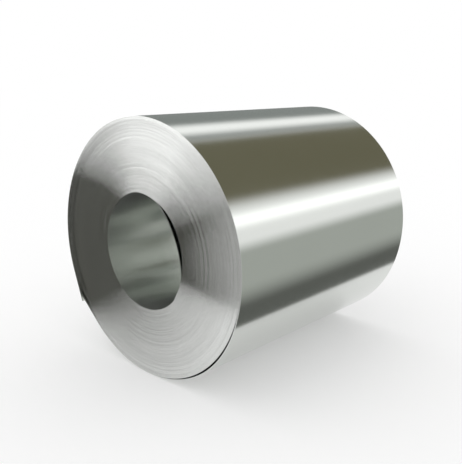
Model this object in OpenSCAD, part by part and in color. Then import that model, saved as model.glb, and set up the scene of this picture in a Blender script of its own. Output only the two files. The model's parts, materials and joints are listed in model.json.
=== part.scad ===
// Coil of steel strip, lying with its axis level
// Millimetres. The axis is along Y and goes through the origin. +Z is up.
// The end with -Y is the front. Directions are in degrees from +X towards +Z.

/* [Strip] */
// Thickness of the strip
strip_t = 3; // [1.5:0.5:5]
// Width of the strip, which is the length of the coil
strip_w = 1219; // [600:1:1600]

/* [Coil] */
// Diameter of the bore that the mandrel leaves
bore_d = 508; // [400:1:620]
// Diameter over the tight turns
tight_d = 1130; // [960:1:1600]

/* [Ends] */
// Turns of strip in each band that shows on the ends
band_turns = 4; // [2:1:8]
// Farthest that a band is shifted along the axis
band_shift = 1.2; // [0.3:0.1:4]
// Turns that lie flush next to the bore
inner_turns = 8; // [7:1:14]
// Turns that lie flush at the outside
outer_turns = 8; // [3:1:14]

/* [Free outer end] */
// Direction in which the free end leaves the coil
tail_dir = 200; // [180:1:225]
// Length of the straight free end
tail_len = 158; // [60:1:240]
// Gap under the outer wrap where the free end begins
tail_gap = 14; // [3:0.5:18]
// Part of a turn over which the outer wrap stands off
tail_span = 135; // [60:1:140]

/* [Slack in the outer wrap] */
// Direction of the middle of the slack place
outer_slack_dir = -45; // [-60:1:-40]
// Reach of the slack place to each side of its middle
outer_slack_span = 32; // [20:1:45]
// Gap in the middle of the slack place
outer_slack_gap = 8; // [3:0.5:14]

/* [Slack in the inner wrap] */
// Direction of the middle of the slack place
inner_slack_dir = 33; // [20:1:45]
// Reach of the slack place to each side of its middle
inner_slack_span = 43; // [25:1:50]
// Gap in the middle of the slack place
inner_slack_gap = 14; // [5:0.5:18]

/* [Inner end] */
// Direction of the end of the strip in the bore
head_dir = -40; // [-60:1:-30]
// Part of a turn over which the wrap closes on that end
head_span = 45; // [25:1:60]

/* [Hidden] */
$fn = 180;

bore_r = bore_d / 2;
tight_r = tight_d / 2;
// Radius where the plain turns next to the bore stop
inner_r = bore_r + inner_turns * strip_t;
// Radius where the plain turns at the outside start
outer_r = tight_r - outer_turns * strip_t;
// Bands between those two, each of whole turns as near as they fit
bands = max(1, round((outer_r - inner_r) / (band_turns * strip_t)));
band_w = (outer_r - inner_r) / bands;
// Reach of the half planes that the section is cut with
reach = 2 * (tight_r + tail_gap + outer_slack_gap + strip_t);

// A slack place lies between a round of radius r and an arc that leaves it at
// both ends. The arc's centre is this far from the round's centre.
function slack_offset(r, gap, span) =
    gap * (gap + 2 * r) / (2 * (r * (1 - cos(span)) + gap));
function slack_radius(r, gap, span) = r + gap - slack_offset(r, gap, span);

// Shift of a band along the axis, spread evenly by the golden angle
function shift(i) = band_shift * sin(137.508 * (i + 1));
function band_r(i) = inner_r + i * band_w;

// Half section of the wound body: every turn is as wide as the strip, so what
// stands out at one end stands in at the other.
function end_points(side, i) = [
    [band_r(i), side * strip_w / 2 + shift(i)],
    [band_r(i + 1), side * strip_w / 2 + shift(i)]
];
function end_line(side) = [
    [bore_r, side * strip_w / 2],
    [inner_r, side * strip_w / 2],
    for (i = [0:bands - 1]) each end_points(side, i)
];
function backwards(points) = [for (i = [len(points) - 1:-1:0]) points[i]];

// The turned body, from the bore out to the plain outer turns
module wound_body() {
    rotate([90, 0, 0])
        rotate_extrude()
            polygon(concat(end_line(-1), backwards(end_line(1))));
}

// One half of the plane, on the side of +Y or of -Y
module half_plane(side) {
    translate([-reach, side > 0 ? 0 : -reach])
        square([2 * reach, reach]);
}

// Outer half turn that stands off the coil, and the half turn before it, which
// grows by one strip so that the two meet smoothly on the far side.
module outer_turns_outline() {
    rotate(tail_dir) {
        intersection() {
            translate([tail_gap / 2, 0])
                circle(r = tight_r + strip_t + tail_gap / 2);
            half_plane(-1);
        }
        intersection() {
            translate([-strip_t / 2, 0])
                circle(r = tight_r + strip_t / 2);
            half_plane(1);
        }
    }
    rotate(outer_slack_dir)
        translate([slack_offset(tight_r, outer_slack_gap, outer_slack_span), 0])
            circle(r = strip_t
                + slack_radius(tight_r, outer_slack_gap, outer_slack_span));
}

// Open space under the outer half turn, as far round as it stands off
module tail_gap_outline() {
    rotate(tail_dir)
        difference() {
            intersection() {
                translate([tail_gap / 2, 0])
                    circle(r = tight_r + tail_gap / 2);
                half_plane(-1);
                rotate(180 - tail_span) half_plane(-1);
            }
            circle(r = tight_r);
        }
}

// Lens-shaped space outside a round of radius r
module slack_outline(r, gap, span, direction) {
    difference() {
        rotate(direction)
            translate([slack_offset(r, gap, span), 0])
                circle(r = slack_radius(r, gap, span));
        circle(r = r);
    }
}

// Straight end of the strip, which leaves the outer wrap as its tangent
module tail_outline() {
    rotate(tail_dir)
        translate([tight_r + tail_gap, 0])
            square([strip_t, tail_len]);
}

// Step in the bore at the end of the strip: the wrap before it lies one strip
// farther out there and closes in as it goes round.
module head_outline() {
    rotate(head_dir)
        intersection() {
            translate([slack_offset(bore_r, strip_t, head_span), 0])
                circle(r = slack_radius(bore_r, strip_t, head_span));
            half_plane(-1);
        }
}

// A drawing in the plane across the axis, made as long as given
module along_axis(length) {
    rotate([90, 0, 0])
        linear_extrude(length, center = true)
            children();
}

module coil() {
    color("silver")
        difference() {
            union() {
                wound_body();
                along_axis(strip_w)
                    difference() {
                        outer_turns_outline();
                        circle(r = outer_r - strip_t);
                    }
                along_axis(strip_w)
                    tail_outline();
            }
            along_axis(2 * strip_w)
                tail_gap_outline();
            along_axis(2 * strip_w)
                slack_outline(tight_r, outer_slack_gap, outer_slack_span,
                    outer_slack_dir);
            along_axis(2 * strip_w)
                slack_outline(bore_r + strip_t, inner_slack_gap,
                    inner_slack_span, inner_slack_dir);
            along_axis(2 * strip_w)
                head_outline();
        }
}

coil();
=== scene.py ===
# %% [markdown]
# A coil of bright steel strip, lying on a pale studio floor.
# The real thing is one long strip, wound up flat on a mandrel. A turned ring with
# lines drawn on it could stand for it, but the edges of its turns would catch no
# light. So this lesson winds one long strip too: a rule says where each point of it
# lies, and Geometry Nodes follow that rule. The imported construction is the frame.
# It fixes the place and the size, and the wound strip takes the plain solid's place.

# %% The frame and its box
import json
import math

import bmesh
import bpy
from mathutils import Matrix, Vector


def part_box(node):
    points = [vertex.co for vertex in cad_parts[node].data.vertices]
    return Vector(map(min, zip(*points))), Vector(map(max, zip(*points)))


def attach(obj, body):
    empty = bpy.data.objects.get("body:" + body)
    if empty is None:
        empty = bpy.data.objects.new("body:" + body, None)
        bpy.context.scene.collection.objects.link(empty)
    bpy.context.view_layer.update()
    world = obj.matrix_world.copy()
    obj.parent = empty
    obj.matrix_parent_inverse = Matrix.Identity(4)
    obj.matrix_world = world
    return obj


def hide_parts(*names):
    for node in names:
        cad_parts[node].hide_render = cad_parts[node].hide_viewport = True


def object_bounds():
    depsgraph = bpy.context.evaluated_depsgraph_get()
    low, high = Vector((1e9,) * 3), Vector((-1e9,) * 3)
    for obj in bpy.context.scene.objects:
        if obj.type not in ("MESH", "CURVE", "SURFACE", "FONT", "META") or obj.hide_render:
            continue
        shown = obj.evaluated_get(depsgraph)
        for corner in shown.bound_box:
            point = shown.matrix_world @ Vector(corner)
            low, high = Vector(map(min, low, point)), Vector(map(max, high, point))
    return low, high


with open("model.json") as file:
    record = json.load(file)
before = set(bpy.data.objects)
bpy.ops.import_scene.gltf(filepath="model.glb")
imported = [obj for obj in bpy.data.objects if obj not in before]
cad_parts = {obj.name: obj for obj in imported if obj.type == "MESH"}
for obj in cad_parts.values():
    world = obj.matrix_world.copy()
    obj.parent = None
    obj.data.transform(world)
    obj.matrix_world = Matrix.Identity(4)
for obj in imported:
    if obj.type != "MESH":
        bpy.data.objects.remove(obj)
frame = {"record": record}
cad_low, cad_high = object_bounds()
coil_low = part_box("coil")[0]
MM = 0.001
TWO_PI = 2 * math.pi
print("frame from", tuple(cad_low), "to", tuple(cad_high))

# %% [markdown]
# Sizes are in metres. Directions are angles about the coil's axis, which runs along
# Y: 0 is +X, and 90 degrees is straight up. The bore and the width of the strip are
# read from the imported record, so they can't drift from it. The thickness, the tight
# turns and the two ends of the strip have the construction's sizes.

# %% Sizes of the strip
bore = frame["record"]["mounts"][0]
bore_radius = bore["dims"]["r_mm"] * MM
strip_width = bore["dims"]["length_mm"] * MM
strip_thick = 3 * MM
tight_radius = 565 * MM
head_direction = math.radians(-40)
tail_direction = math.radians(200)
tail_length = 158 * MM
turns = (tight_radius - bore_radius) / strip_thick
print("wound turns:", round(turns, 3), "bore radius:", bore_radius, "strip width:", strip_width)

# %% [markdown]
# The camera stands to the right of the near end and a little above it. It is a
# plain camera with no shift. Its place was found by laying the rims, the bore
# and the side lines of this coil over those in the photograph.

# %% Camera
camera_place = Vector((2.0362, -2.2458, 0.7177))
camera_azimuth = math.radians(42.967)
camera_elevation = math.radians(13.732)
camera_lens = 48.577
film_width = 36
sight_reach = 100


def make_camera():
    data = bpy.data.cameras.new("camera")
    data.lens = camera_lens
    data.sensor_width = film_width
    data.clip_end = sight_reach
    camera = bpy.data.objects.new("camera", data)
    backwards = Vector((
        math.sin(camera_azimuth) * math.cos(camera_elevation),
        -math.cos(camera_azimuth) * math.cos(camera_elevation),
        math.sin(camera_elevation),
    ))
    turn = (-backwards).to_track_quat("-Z", "Y").to_matrix().to_4x4()
    camera.matrix_world = Matrix.Translation(camera_place) @ turn
    bpy.context.scene.collection.objects.link(camera)
    bpy.context.scene.camera = camera
    return camera


camera = make_camera()
print("camera at", tuple(camera.location))

# %% [markdown]
# Node trees are easier to read as sums than as boxes and wires. This small class
# holds one socket, and adding, multiplying or comparing two of them adds the Math
# node that does it. One method makes every other kind of node.


# %% A socket that can be used in sums
class Wire:
    def __init__(self, tree, socket):
        self.tree = tree
        self.socket = socket

    @staticmethod
    def node(tree, kind, settings=None, sockets=None):
        made = tree.nodes.new(kind)
        for name, value in (settings or {}).items():
            setattr(made, name, value)
        for key, value in (sockets or {}).items():
            target = made.inputs[key]
            if isinstance(value, Wire):
                tree.links.new(value.socket, target)
            else:
                target.default_value = value
        return made

    def out(self, kind, settings=None, sockets=None, output=0):
        made = Wire.node(self.tree, kind, settings, sockets)
        return Wire(self.tree, made.outputs[output])

    def maths(self, operation, *others):
        sockets = {place: value for place, value in enumerate((self, *others))}
        return self.out("ShaderNodeMath", {"operation": operation}, sockets)

    def turned(self, operation, other):
        return self.out("ShaderNodeMath", {"operation": operation}, {0: other, 1: self})

    def __add__(self, other):
        return self.maths("ADD", other)

    def __radd__(self, other):
        return self.turned("ADD", other)

    def __sub__(self, other):
        return self.maths("SUBTRACT", other)

    def __rsub__(self, other):
        return self.turned("SUBTRACT", other)

    def __mul__(self, other):
        return self.maths("MULTIPLY", other)

    def __rmul__(self, other):
        return self.turned("MULTIPLY", other)

    def __truediv__(self, other):
        return self.maths("DIVIDE", other)

    def __rtruediv__(self, other):
        return self.turned("DIVIDE", other)

    def __abs__(self):
        return self.maths("ABSOLUTE")

    def __lt__(self, other):
        return self.maths("LESS_THAN", other)

    def __gt__(self, other):
        return self.maths("GREATER_THAN", other)

    def least(self, other):
        return self.maths("MINIMUM", other)

    def most(self, other):
        return self.maths("MAXIMUM", other)

    def sine(self):
        return self.maths("SINE")

    def cosine(self):
        return self.maths("COSINE")


print("sums of sockets are made by the class", Wire.__name__)

# %% [markdown]
# Steel has no colour of its own to speak of: what is seen is the room in it. So a
# finish of steel is a pale tint, a low roughness and a little fine relief, and noise
# varies them. An image could do that too, but noise on Object coordinates needs no
# file and no unwrapping. These helpers start a material and make its usual nodes.


# %% Helpers for finishes
def new_material(name):
    material = bpy.data.materials.new(name)
    material.use_nodes = True
    tree = material.node_tree
    tree.nodes.clear()
    return material, tree


def show(tree, shader):
    """Sends a shader to the material's output."""
    Wire.node(tree, "ShaderNodeOutputMaterial", None,
              {"Surface": Wire(tree, shader.outputs[0])})


def object_place(tree):
    coordinates = Wire.node(tree, "ShaderNodeTexCoord")
    split = Wire.node(tree, "ShaderNodeSeparateXYZ", None,
                      {0: Wire(tree, coordinates.outputs["Object"])})
    return [Wire(tree, split.outputs[axis]) for axis in "XYZ"]


def mixed(share, low, high):
    """The colour low where share is 0, and high where it is 1."""
    return share.out("ShaderNodeMix", {"data_type": "RGBA"},
                     {"Factor": share, "A": low, "B": high}, "Result")


def noise(x, y, z=0.0, scale=1.0, detail=2.0, roughness=0.5):
    place = x.out("ShaderNodeCombineXYZ", None, {"X": x, "Y": y, "Z": z})
    return place.out("ShaderNodeTexNoise", None, {
        "Vector": place, "Scale": scale, "Detail": detail, "Roughness": roughness})


print("materials before the first finish:", len(bpy.data.materials))

# %% [markdown]
# The rolled faces are bright and smooth, with faint rolling lines that run along the
# strip, so round the coil. The distance along the axis tells one line from the next,
# and the angle about it lets each line fade slowly. Broader bands and soft clouds
# vary the shine. The wall of the bore is the same face, a little duller.

# %% Rolled faces
# How quickly each noise changes along the axis, per metre, and round it, per radian
LINE_RATES = (240.0, 1.5)
BAND_RATES = (40.0, 0.6)
LINE_FINENESS = 0.6
CLOUD_SCALE = 3.0
CLOUD_DETAIL = 4.0
# What each noise adds to the roughness
LINE_DULLNESS = 0.03
BAND_DULLNESS = 0.03
CLOUD_DULLNESS = 0.02
LINE_STRENGTH = 0.015
LINE_DEPTH = 1 * MM
ROLLED_TINTS = ((0.70, 0.72, 0.69, 1), (0.73, 0.75, 0.72, 1))


def rolled_finish(name, dullness, metallic):
    material, tree = new_material(name)
    x, y, z = object_place(tree)
    around = z.maths("ARCTAN2", x)
    lines = noise(y * LINE_RATES[0], around * LINE_RATES[1], roughness=LINE_FINENESS)
    bands = noise(y * BAND_RATES[0], around * BAND_RATES[1])
    clouds = noise(x, y, z, CLOUD_SCALE, CLOUD_DETAIL)
    roughness = (dullness + lines * LINE_DULLNESS + bands * BAND_DULLNESS
                 + clouds * CLOUD_DULLNESS)
    relief = lines.out("ShaderNodeBump", None, {
        "Strength": LINE_STRENGTH, "Distance": LINE_DEPTH, "Height": lines})
    show(tree, Wire.node(tree, "ShaderNodeBsdfPrincipled", None, {
        "Base Color": mixed(clouds, *ROLLED_TINTS), "Metallic": metallic,
        "Roughness": roughness, "Normal": relief}))
    return material


rolled_face = rolled_finish("rolled_face", dullness=0.10, metallic=1.0)
bore_wall = rolled_finish("bore_wall", dullness=0.12, metallic=0.9)
print("rolled finishes:", rolled_face.name, bore_wall.name)

# %% [markdown]
# Both ends of the coil are the sheared edges of the strip. They are duller than its
# faces, and every turn differs a little from its neighbour. The radius and the angle
# tell which turn a point is in, so each turn can have a noise of its own, and a
# slower noise draws some neighbours together into groups.

# %% Sheared edges
# How quickly each noise changes from turn to turn, and round the axis, per radian
EACH_RATES = (7.3, 1.2)
GROUP_RATES = (0.35, 0.4)
EDGE_DULLNESS = 0.10
EACH_DULLNESS = 0.06
GROUP_DULLNESS = 0.05
EDGE_TINTS = ((0.57, 0.58, 0.565, 1), (0.91, 0.92, 0.905, 1))


def edge_finish():
    material, tree = new_material("sheared_edge")
    x, y, z = object_place(tree)
    around = z.maths("ARCTAN2", x)
    radius = (x * x + z * z).maths("SQRT")
    turn = (radius - bore_radius) / strip_thick - (around - head_direction) / TWO_PI
    each = noise(turn.maths("FLOOR") * EACH_RATES[0], around * EACH_RATES[1])
    groups = noise(turn * GROUP_RATES[0], around * GROUP_RATES[1])
    roughness = EDGE_DULLNESS + each * EACH_DULLNESS + groups * GROUP_DULLNESS
    tint = mixed(each * 0.5 + groups * 0.5, *EDGE_TINTS)
    show(tree, Wire.node(tree, "ShaderNodeBsdfPrincipled", None, {
        "Base Color": tint, "Metallic": 1.0, "Roughness": roughness}))
    return material


sheared_edge = edge_finish()
print("edge finish:", sheared_edge.name)

# %% [markdown]
# Most turns lie tight on one another, but it is the loose ones that make a coil look
# real. The outer turns spring off on the side of the free end. The few next to it
# hold together as a bundle, and those below stand off less and less. The last turn
# is slack in one more place, and on the right of the bore the inner turns sag.
# Every size of this is a named input of the tree, so that it can be changed alone.

# %% Sizes of the winding
STEPS_IN_A_TURN = 120
TAIL_STEPS = 6
OUTER_BAND_TURNS = 8
outer_slack_direction = math.radians(-45)
inner_slack_direction = math.radians(26)
winding_sizes = {
    "Strip thickness": strip_thick,
    "Strip width": strip_width,
    "Bore radius": bore_radius,
    "Turns": turns,
    "Steps in a turn": float(STEPS_IN_A_TURN),
    "Air": 0.03 * MM,
    "Head direction": head_direction,
    # The free end and the turns that stand off with it
    "Free end step": tail_length / TAIL_STEPS,
    "Free end gap": 14 * MM,
    "Free end lift turns": 12.0,
    "Free end drop": math.radians(23),
    "Bundle turns": 4.0,
    "Bundle drop": math.radians(28),
    # The slack place in the last turn, counted back from the free end
    "Outer slack place": tail_direction - outer_slack_direction,
    "Outer slack reach": math.radians(44),
    "Outer slack gap": 8 * MM,
    # The slack first turn, counted from the inner end, and the turns that sag with it
    "Inner slack place": inner_slack_direction - head_direction,
    "Inner slack reach": math.radians(41),
    "Inner slack gap": 20 * MM,
    "Inner sag": 16 * MM,
    "Inner sag reach": math.radians(70),
    "Inner sag turns": 28.0,
    # The crown of each edge, and how turns wander along the axis
    "Crown": 0.65 * MM,
    "Crown wander": 0.03,
    "Side wander": 0.45 * MM,
    "Outer band start": turns - OUTER_BAND_TURNS,
    "Outer band set back": 1 * MM,
}
columns = round(turns * STEPS_IN_A_TURN) + TAIL_STEPS + 1
print("winding:", len(winding_sizes), "sizes and", columns, "steps along the strip")

# %% [markdown]
# Three curves bend the turns: a hump with soft feet, for steel that springs off; an
# arc, for steel that sags between two places where it is held; and smooth noise, for
# turns that were not wound quite true. Noise stays near its middle, so it is spread.

# %% Curves of the loose turns
NOISE_SPREAD = 2.6


def hump(distance, reach):
    """1 where distance is 0, falling smoothly to 0 at reach and beyond."""
    share = (abs(distance) / reach).least(1.0)
    return (share * math.pi).cosine() * 0.5 + 0.5


def lens(distance, reach):
    """1 where distance is 0, falling like an arc to 0 at reach."""
    share = (abs(distance) / reach).least(1.0)
    return 1.0 - share * share


def wavering(turn, rate, seed):
    """Smooth noise about 0, with so many waves in a turn."""
    level = turn.out("ShaderNodeTexNoise", {"noise_dimensions": "1D"},
                     {"W": turn * rate + seed, "Scale": 1.0, "Detail": 1.0})
    return (level - 0.5) * NOISE_SPREAD


print("noise is spread by", NOISE_SPREAD)

# %% [markdown]
# How far a turn lies from its tight place follows from how far it is from either end
# of the strip. Before the free end the outer turns rise in a hump. After it, the
# turns under the straight end follow its line and then fall in a ramp. The bundle
# falls later than the turns below it, so that a wedge opens between them.


# %% Turns that stand off and turns that sag
def outer_stand_off(size, turn):
    to_tail = (size["Turns"] - turn) * TWO_PI
    before_tail = to_tail.maths("FLOORED_MODULO", TWO_PI)
    lift = size["Free end gap"] * hump(before_tail, math.pi)
    under_bundle = to_tail / TWO_PI - size["Bundle turns"]
    sooner = size["Free end drop"] - size["Bundle drop"]
    drop = size["Bundle drop"] + (under_bundle > 0.0) * sooner
    after_tail = (TWO_PI - before_tail).least(drop)
    outside = size["Bore radius"] + size["Turns"] * size["Strip thickness"]
    on_line = (outside + size["Free end gap"]) / after_tail.cosine() - outside
    on_ramp = outside / (drop - after_tail).cosine() - outside
    lift_share = (1.0 - under_bundle.most(0.0) / size["Free end lift turns"]).most(0.0)
    slack = hump(to_tail - size["Outer slack place"], size["Outer slack reach"])
    return lift.most(on_line.least(on_ramp)) * lift_share + size["Outer slack gap"] * slack


def inner_sag(size, turn):
    from_head = turn * TWO_PI
    from_slack = from_head - size["Inner slack place"]
    beside = (from_slack + math.pi).maths("FLOORED_MODULO", TWO_PI) - math.pi
    sag_share = (1.0 - turn / size["Inner sag turns"]).most(0.0)
    together = size["Inner sag"] * sag_share * lens(beside, size["Inner sag reach"])
    alone = size["Inner slack gap"] * lens(from_slack, size["Inner slack reach"])
    return together + alone


print("the free end stands off by", winding_sizes["Free end gap"],
      "and the inner turns sag by", winding_sizes["Inner sag"])

# %% [markdown]
# The strip starts as a flat grid: one column for each step along the strip, and
# seven rows that go once round its cross-section. The first three rows are its
# near edge, the next three its far edge, and the last row closes the loop.
# Each edge is a little crowned, as a sheared edge is. That is what makes the end of
# a coil shine in a bow tie of light: the crowns throw the light towards and away
# from the axis, but never sideways. A point's radius grows by one thickness in each
# turn, and past the last turn the strip goes on straight.

# %% Where a point of the strip lies
ROWS = 7
EDGE_ROWS = 3
NEAR_EDGE_ROW = 1
FAR_EDGE_ROW = 4
OUTER_FACE_ROW = 2.5
# Waves in a turn and the seed of the noise
CROWN_WAVES = (1.37, 3.1)
QUICK_WAVES = (1.71, 11.7)
SLOW_WAVES = (0.23, 5.3)
QUICK_SHARE = 0.6


def flat_grid(tree, columns):
    """The grid, and the step along the strip and the row across it of each point."""
    grid = Wire.node(tree, "GeometryNodeMeshGrid", None, {
        "Size X": columns - 1.0, "Size Y": float(ROWS - 1),
        "Vertices X": columns, "Vertices Y": ROWS,
    })
    place = Wire(tree, Wire.node(tree, "GeometryNodeInputPosition").outputs[0])
    split = Wire.node(tree, "ShaderNodeSeparateXYZ", None, {0: place})
    step = (Wire(tree, split.outputs["X"]) + (columns - 1.0) * 0.5).maths("ROUND")
    row = (Wire(tree, split.outputs["Y"]) + (ROWS - 1) / 2).maths("ROUND")
    return Wire(tree, grid.outputs["Mesh"]), step, row


def wound_place(size, step, row):
    """Where a point of the grid lies in the coil, and the turn that it is in."""
    # Across the strip: u goes from the inner face to the outer, side from near to far
    u = ((OUTER_FACE_ROW - abs(row - OUTER_FACE_ROW)) * 0.5).most(0.0)
    corner = abs(u * 2.0 - 1.0)
    side = (abs(row - FAR_EDGE_ROW) < EDGE_ROWS / 2) * 2.0 - 1.0

    # Along the strip: turns from the inner end, and the straight rest
    wound_steps = size["Turns"] * size["Steps in a turn"]
    turn = step.least(wound_steps) / size["Steps in a turn"]
    beyond = (step - wound_steps).most(0.0) * size["Free end step"]
    angle = size["Head direction"] + turn * TWO_PI

    middle = (1.0 - corner) * wavering(turn, *CROWN_WAVES) * size["Crown wander"]
    thickness = size["Strip thickness"] - size["Air"]
    stand_off = outer_stand_off(size, turn) - inner_sag(size, turn)
    radius = (size["Bore radius"] + turn * size["Strip thickness"] + stand_off
              + (u + middle) * thickness)
    sideways = wavering(turn, *QUICK_WAVES) * QUICK_SHARE + wavering(turn, *SLOW_WAVES)
    set_back = (turn > size["Outer band start"]) * size["Outer band set back"]
    half_width = size["Strip width"] * 0.5 - corner * size["Crown"]
    place = radius.out("ShaderNodeCombineXYZ", None, {
        "X": radius * angle.cosine() - beyond * angle.sine(),
        "Y": side * half_width + sideways * size["Side wander"] + set_back,
        "Z": radius * angle.sine() + beyond * angle.cosine(),
    })
    return place, turn


print("points of the strip:", columns * ROWS)

# %% [markdown]
# The tree makes the grid, notes each point's row and turn as attributes, and winds
# the grid up with Set Position. The attributes then tell which faces are sheared
# edges, and which are the wall of the bore. A curve with a profile could make the
# strip as well, but that profile is the same all along, and the crowns here wander.

# %% The winding as a Geometry Nodes tree
STRIP_ROW = "strip_row"
STRIP_TURN = "strip_turn"
BORE_TURNS = 1.1


def painted_strip(strip):
    """Gives each face of the wound strip its finish."""
    row, turn = (
        strip.out("GeometryNodeInputNamedAttribute", {"data_type": "FLOAT"}, {"Name": name})
        for name in (STRIP_ROW, STRIP_TURN))
    # A face lies half a row from each of its two rows, and the inner face comes last
    on_edge = (abs(row - NEAR_EDGE_ROW) < 1.0).most(abs(row - FAR_EDGE_ROW) < 1.0)
    in_bore = (row > FAR_EDGE_ROW + 1) * (turn < BORE_TURNS)
    painted = strip.out("GeometryNodeSetMaterial", None,
                        {"Geometry": strip, "Material": rolled_face})
    for chosen, material in ((on_edge, sheared_edge), (in_bore, bore_wall)):
        painted = painted.out("GeometryNodeSetMaterial", None, {
            "Geometry": painted, "Selection": chosen, "Material": material})
    return painted


def winding_tree():
    tree = bpy.data.node_groups.new("wound_strip", "GeometryNodeTree")
    for name in winding_sizes:
        tree.interface.new_socket(name=name, in_out="INPUT", socket_type="NodeSocketFloat")
    tree.interface.new_socket(name="Columns", in_out="INPUT", socket_type="NodeSocketInt")
    tree.interface.new_socket(name="Strip", in_out="OUTPUT", socket_type="NodeSocketGeometry")
    given = Wire.node(tree, "NodeGroupInput")
    size = {name: Wire(tree, given.outputs[name]) for name in (*winding_sizes, "Columns")}
    strip, step, row = flat_grid(tree, size["Columns"])
    place, turn = wound_place(size, step, row)
    for name, value in ((STRIP_ROW, row), (STRIP_TURN, turn)):
        strip = strip.out("GeometryNodeStoreNamedAttribute",
                          {"data_type": "FLOAT", "domain": "POINT"},
                          {"Geometry": strip, "Name": name, "Value": value})
    strip = strip.out("GeometryNodeSetPosition", None, {"Geometry": strip, "Position": place})
    strip = strip.out("GeometryNodeRealizeInstances", None, {"Geometry": strip})
    Wire.node(tree, "NodeGroupOutput", None, {"Strip": painted_strip(strip)})
    return tree


winding = winding_tree()
print("winding tree:", len(winding.nodes), "nodes")

# %% [markdown]
# The tree's inputs are set by each socket's identifier before the object is
# evaluated. The result becomes a plain mesh. Its closing row is merged with its
# first, the two cut ends of the strip are closed, and the corners of the
# cross-section are marked sharp, so that only the crowns are shaded smooth.

# %% The wound strip
CORNER_ROWS = {0, 2, 3, 5, 6}
MERGE_DISTANCE = 0.001 * MM


def wind_strip():
    strip = bpy.data.objects.new("wound_strip", bpy.data.meshes.new("wound_strip"))
    bpy.context.scene.collection.objects.link(strip)
    modifier = strip.modifiers.new("winding", "NODES")
    modifier.node_group = winding
    sockets = {item.name: item.identifier for item in winding.interface.items_tree
               if item.in_out == "INPUT"}
    for name, value in winding_sizes.items():
        modifier[sockets[name]] = value
    modifier[sockets["Columns"]] = columns
    bpy.context.view_layer.update()
    graph = bpy.context.evaluated_depsgraph_get()
    mesh = bpy.data.meshes.new_from_object(strip.evaluated_get(graph))
    strip.modifiers.remove(modifier)
    empty = strip.data
    strip.data = mesh
    bpy.data.meshes.remove(empty)
    mesh.name = "wound_strip"
    return strip


def finish_strip(strip):
    work = bmesh.new()
    work.from_mesh(strip.data)
    rows = work.verts.layers.float[STRIP_ROW]
    row_of = {vertex: round(vertex[rows]) for vertex in work.verts}
    for edge in work.edges:
        first, second = (row_of[vertex] for vertex in edge.verts)
        edge.smooth = not (first == second and first in CORNER_ROWS)
    for face in work.faces:
        face.smooth = True
    bmesh.ops.remove_doubles(work, verts=work.verts, dist=MERGE_DISTANCE)
    rims = [edge for edge in work.edges if len(edge.link_faces) == 1]
    ends = bmesh.ops.holes_fill(work, edges=rims, sides=0)["faces"]
    for face in ends:
        face.smooth = False
        for edge in face.edges:
            edge.smooth = False
    bmesh.ops.recalc_face_normals(work, faces=work.faces)
    work.to_mesh(strip.data)
    work.free()
    return len(ends)


strip = wind_strip()
closed = finish_strip(strip)
strip.data.calc_loop_triangles()
print("wound strip:", len(strip.data.loop_triangles), "triangles,", closed, "cut ends closed")

# %% [markdown]
# The coil is one piece of stock, so it is one piece here too. It rides on the only
# body and stands in the place of the construction's plain solid.

# %% The strip takes the plain solid's place
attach(strip, "root")
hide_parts("coil")
print(strip.name, "stands for the plain coil")

# %% [markdown]
# The stage: a pale floor and a white room. Bright steel shows whatever stands
# around it, so a photographer of such a coil hangs a few cloths in the room and
# stands screens on the floor. Only mirror-like rays see those. The camera sees
# the white room and the pale floor, and the steel shows that floor and room too:
# the floor looks the same to camera rays, glossy rays and rays through glass.
# There it keeps the coil's shadow, and a light of its own makes the rest white.

# %% Floor
FLOOR_REACH = 60
FLOOR_PALENESS = 0.9
SHADOW_SHARE = 0.75
floor_height = cad_low.z


def grey(level):
    return (level, level, level, 1)


def floor_finish():
    material, tree = new_material("pale_floor")
    path = Wire.node(tree, "ShaderNodeLightPath")
    camera_ray, glossy_ray, through_ray = (
        Wire(tree, path.outputs[name])
        for name in ("Is Camera Ray", "Is Glossy Ray", "Is Transmission Ray"))
    plain = camera_ray.out("ShaderNodeBsdfDiffuse", None, {"Color": grey(FLOOR_PALENESS)})
    shaded = camera_ray.out("ShaderNodeBsdfDiffuse", None, {"Color": grey(SHADOW_SHARE)})
    light = camera_ray.out("ShaderNodeEmission", None, {"Color": grey(1 - SHADOW_SHARE)})
    white = camera_ray.out("ShaderNodeAddShader", None, {0: shaded, 1: light})
    show(tree, Wire.node(tree, "ShaderNodeMixShader", None, {
        0: camera_ray.most(glossy_ray).most(through_ray), 1: plain, 2: white}))
    return material


def stage_mesh(name, build, material):
    work = bmesh.new()
    build(work)
    mesh = bpy.data.meshes.new(name)
    work.to_mesh(mesh)
    work.free()
    mesh.materials.append(material)
    made = bpy.data.objects.new(name, mesh)
    bpy.context.scene.collection.objects.link(made)
    return made


floor = stage_mesh("floor", lambda work: bmesh.ops.create_grid(
    work, x_segments=1, y_segments=1, size=FLOOR_REACH,
    matrix=Matrix.Translation((0, 0, floor_height))), floor_finish())
print(floor.name, "at", floor_height)

# %% [markdown]
# The room that the steel mirrors is white, as the camera sees it. A direction has
# four readings: round is its angle about the coil's axis, deep its share along the
# axis, side its angle from straight in front, towards the right, and high its
# angle above the floor. Cloths could be sheets of their own, but on one large ball
# they are drawn by direction, with soft edges. Behind the coil hang an olive cloth,
# a grey one and two bright strips, which show as bands along the coil, and a ring of
# grey cloth that shows in the bore. One soft lamp stands in front, on the left.

# %% White room with its cloths
ROOM_RADIUS = 60
ROOM_SUBDIVISIONS = 5
ROOM_WHITE = (1, 1, 1, 1)
# Every direction that goes well back along the axis
BEHIND = (0.3, 2, 0.1)
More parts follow.
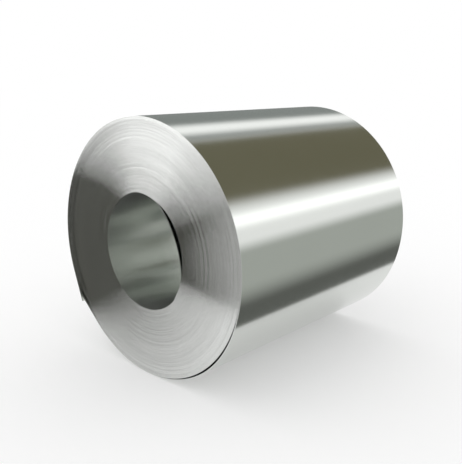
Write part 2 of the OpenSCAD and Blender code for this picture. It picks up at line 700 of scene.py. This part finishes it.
# Each reading's low and high limit and the softness of its edges, then the colour
ROOM_CLOTHS = {
    "olive cloth": ({"round": (40, 110, 8), "deep": BEHIND}, (0.16, 0.15, 0.10, 1)),
    "grey cloth": ({"round": (110, 190, 5), "deep": BEHIND}, (0.25, 0.27, 0.26, 1)),
    "upper strip": ({"round": (118, 134, 6), "deep": BEHIND}, grey(1.2)),
    "lower strip": ({"round": (20, 30, 4), "deep": BEHIND}, grey(1.6)),
    "grey ring": ({"deep": (0.4, 0.6, 0.03)}, (0.3, 0.33, 0.3, 1)),
    "lamp": ({"side": (-65, -30, 4), "high": (0, 25, 4)}, grey(1.9)),
}


def rising(reading, edge, soft):
    """0 below an edge and 1 above it, with a smooth change between."""
    return reading.out("ShaderNodeMapRange", {"interpolation_type": "SMOOTHSTEP"}, {
        "Value": reading, "From Min": edge - soft, "From Max": edge + soft})


def in_range(reading, low, high, soft):
    return rising(reading, low, soft) * (1.0 - rising(reading, high, soft))


def glow(material, tree, colour):
    """Shows a colour as it is, and isn't sampled as a lamp."""
    show(tree, Wire.node(tree, "ShaderNodeEmission", None, {"Color": colour, "Strength": 1.0}))
    material.cycles.emission_sampling = "NONE"


def room_finish():
    material, tree = new_material("room_cloth")
    x, y, z = object_place(tree)
    degrees = 180 / math.pi
    readings = {
        "round": z.maths("ARCTAN2", x) * degrees,
        "deep": y / ROOM_RADIUS,
        "side": x.maths("ARCTAN2", y * -1.0) * degrees,
        "high": (z / ROOM_RADIUS).maths("ARCSINE") * degrees,
    }
    colour = ROOM_WHITE
    for ranges, cloth in ROOM_CLOTHS.values():
        shares = [in_range(readings[name], *limits) for name, limits in ranges.items()]
        colour = mixed(math.prod(shares[1:], start=shares[0]), colour, cloth)
    glow(material, tree, colour)
    return material


def only_in_mirrors(piece):
    piece.visible_camera = False
    piece.visible_diffuse = False
    piece.visible_transmission = False
    piece.visible_volume_scatter = False
    piece.visible_shadow = False


room = stage_mesh("room", lambda work: bmesh.ops.create_icosphere(
    work, subdivisions=ROOM_SUBDIVISIONS, radius=ROOM_RADIUS), room_finish())
only_in_mirrors(room)
print(room.name, "with", ", ".join(ROOM_CLOTHS))

# %% [markdown]
# Two screens stand on the floor. A dark one is bent round the near end: the edges
# of the turns mirror it, and that parts the end into dark and light. A grey one,
# with a dark cloth below, runs close along the right side. The rolled face shows it
# under its bright band, and below it the pale floor.

# %% Screens
DARK_DISTANCE = 0.9
DARK_SIDES = (math.radians(-85), math.radians(14))
DARK_TOP = 0.25
DARK_STEPS = 24
DARK_CLOTH = (0.09, 0.09, 0.08, 1)
GREY_DISTANCE = 0.66
GREY_ENDS = (-1.5, 2.5)
GREY_TOP = 0.17
GREY_FOOT_CLOTH = (0.125, 0.13, 0.12, 1)
GREY_CLOTH = (0.44, 0.46, 0.43, 1)
# Height and softness of each edge between its cloths, and the colour above it
GREY_EDGES = ((-0.17, 0.1, GREY_CLOTH), (0.12, 0.04, ROOM_WHITE))


def screen_finish(name, colour, edges):
    material, tree = new_material(name)
    height = object_place(tree)[2]
    for edge, soft, above in edges:
        colour = mixed(rising(height, edge, soft), colour, above)
    glow(material, tree, colour)
    return material


def make_screen(name, foot, top, colour, edges=()):
    def build(work):
        posts = [[work.verts.new((x, y, z)) for z in (floor_height, top)] for x, y in foot]
        for (low, high), (next_low, next_high) in zip(posts, posts[1:]):
            work.faces.new((low, next_low, next_high, high))

    screen = stage_mesh(name, build, screen_finish(name + "_cloth", colour, edges))
    only_in_mirrors(screen)
    return screen


def dark_foot():
    first, last = DARK_SIDES
    sides = [first + (last - first) * step / DARK_STEPS for step in range(DARK_STEPS + 1)]
    return [(DARK_DISTANCE * math.sin(side), coil_low.y - DARK_DISTANCE * math.cos(side))
            for side in sides]


grey_foot = [(GREY_DISTANCE, y) for y in GREY_ENDS]
make_screen("dark_screen", dark_foot(), DARK_TOP, DARK_CLOTH)
make_screen("grey_screen", grey_foot, GREY_TOP, GREY_FOOT_CLOTH, GREY_EDGES)
print("screens", DARK_DISTANCE, "m before the end and", GREY_DISTANCE, "m beside the axis")

# %% [markdown]
# The light on the floor comes from a plain white world of strength 1, at which a
# colour renders about as it is written. Lamps could light the floor too, but each
# would cast a shadow of its own, and the coil should have one soft shadow.


# %% World
def make_world():
    world = bpy.data.worlds.new("white_room")
    bpy.context.scene.world = world
    world.use_nodes = True
    tree = world.node_tree
    tree.nodes.clear()
    background = Wire.node(tree, "ShaderNodeBackground", None,
                           {"Color": ROOM_WHITE, "Strength": 1.0})
    Wire.node(tree, "ShaderNodeOutputWorld", None,
              {"Surface": Wire(tree, background.outputs[0])})
    return world


print("world:", make_world().name)

# %% [markdown]
# The Standard view shows colours as they are written.

# %% Picture settings
bpy.context.scene.view_settings.view_transform = "Standard"
